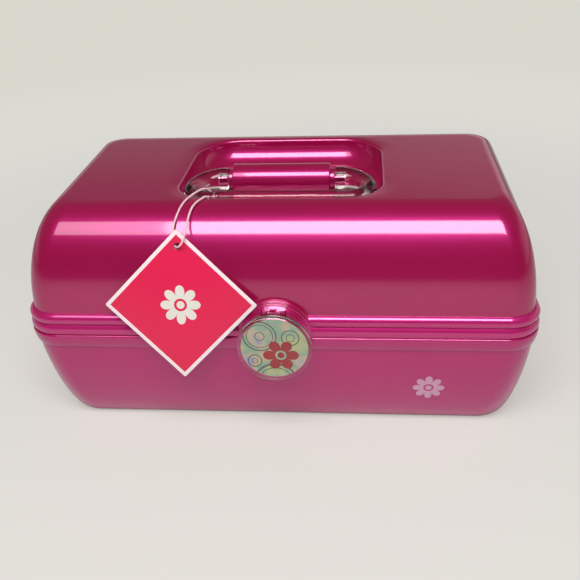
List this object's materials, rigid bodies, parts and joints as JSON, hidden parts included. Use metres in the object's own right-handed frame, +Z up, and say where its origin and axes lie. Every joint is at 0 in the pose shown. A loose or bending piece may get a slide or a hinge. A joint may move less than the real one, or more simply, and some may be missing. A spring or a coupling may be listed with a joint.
{
  "type": "makeup storage case with handle",
  "caption": "Hinged moulded case with a fold-down clear handle in its lid, a rocking front clasp, self-opening trays, an inside mirror and a hang tag on a string.",
  "frame": {"origin": "middle of the surface that the case stands on", "axes": "+Z up, -Y towards the clasp at the front, +X to the right seen from the front"},
  "size_m": [0.34, 0.2309, 0.165],
  "materials": {
    "shell": "pearl gloss, moulded",
    "tray": "gloss, moulded",
    "clear": "clear moulded acrylic",
    "steel": "plated",
    "mirror_glass": "silvered",
    "card_print": "printed card",
    "tag_card": "printed card",
    "elastic": "covered elastic thread"
  },
  "bodies": {
    "base": {"base_shell": "shell", "hinge_pins": "steel", "arm_pivot_pins": "steel"},
    "lid": {"lid_shell": "shell", "handle_barrel": "shell", "barrel_screws": "steel", "clasp_pin": "steel", "tray_rear_pins": "steel", "tray_bracket_left": "tray", "tray_bracket_right": "tray", "bracket_screws": "steel", "mirror_frame": "shell", "mirror_glass": "mirror_glass", "mirror_screws": "steel"},
    "handle": {"handle_bail": "clear", "handle_pins": "steel"},
    "clasp": {"clasp_lever": "shell", "medallion_print": "card_print", "medallion_lens": "clear"},
    "hang_tag": {"hang_tag": "tag_card", "tag_string": "elastic", "string_knot": "elastic"},
    "lower_tray": {"lower_tray": "tray", "lower_tray_front_pins": "steel"},
    "upper_tray": {"upper_tray": "tray", "upper_tray_front_pins": "steel"},
    "lower_arms": {"lower_arm_left": "tray", "lower_arm_right": "tray"},
    "upper_arms": {"upper_arm_left": "tray", "upper_arm_right": "tray"}
  },
  "joints": [
    {"name": "lid_hinge", "type": "hinge", "parent": "base", "child": "lid", "pos_m": [0, 0.1095, 0.078], "axis": [-1, 0, 0], "range_deg": [0, 100]},
    {"name": "handle_fold", "type": "hinge", "parent": "lid", "child": "handle", "pos_m": [0, -0.019, 0.1542], "axis": [-1, 0, 0], "range_deg": [0, 100]},
    {"name": "clasp_rock", "type": "hinge", "parent": "lid", "child": "clasp", "pos_m": [0, -0.1042, 0.0965], "axis": [-1, 0, 0], "range_deg": [0, 30]},
    {"name": "tag_swing", "type": "hinge", "parent": "handle", "child": "hang_tag", "pos_m": [-0.05, -0.0532, 0.1542], "axis": [-1, 0, 0], "range_deg": [-72, 0]},
    {"name": "lower_arm_swing", "type": "hinge", "parent": "base", "child": "lower_arms", "pos_m": [0, -0.005, 0.07], "axis": [-1, 0, 0], "range_deg": [0, 101]},
    {"name": "upper_arm_swing", "type": "hinge", "parent": "base", "child": "upper_arms", "pos_m": [0, 0.03, 0.07], "axis": [-1, 0, 0], "range_deg": [0, 101]},
    {"name": "lower_tray_level", "type": "hinge", "parent": "lid", "child": "lower_tray", "pos_m": [0, 0.064, 0.066], "axis": [-1, 0, 0], "range_deg": [-101, 0]},
    {"name": "upper_tray_level", "type": "hinge", "parent": "lid", "child": "upper_tray", "pos_m": [0, 0.034, 0.092], "axis": [-1, 0, 0], "range_deg": [-101, 0]}
  ],
  "couplings": [
    {"joint": "lower_arm_swing", "follows": "lid_hinge", "ratio": 1},
    {"joint": "upper_arm_swing", "follows": "lid_hinge", "ratio": 1},
    {"joint": "lower_tray_level", "follows": "lid_hinge", "ratio": -1},
    {"joint": "upper_tray_level", "follows": "lid_hinge", "ratio": -1},
    {"joint": "tag_swing", "follows": "handle_fold", "ratio": -0.7}
  ]
}
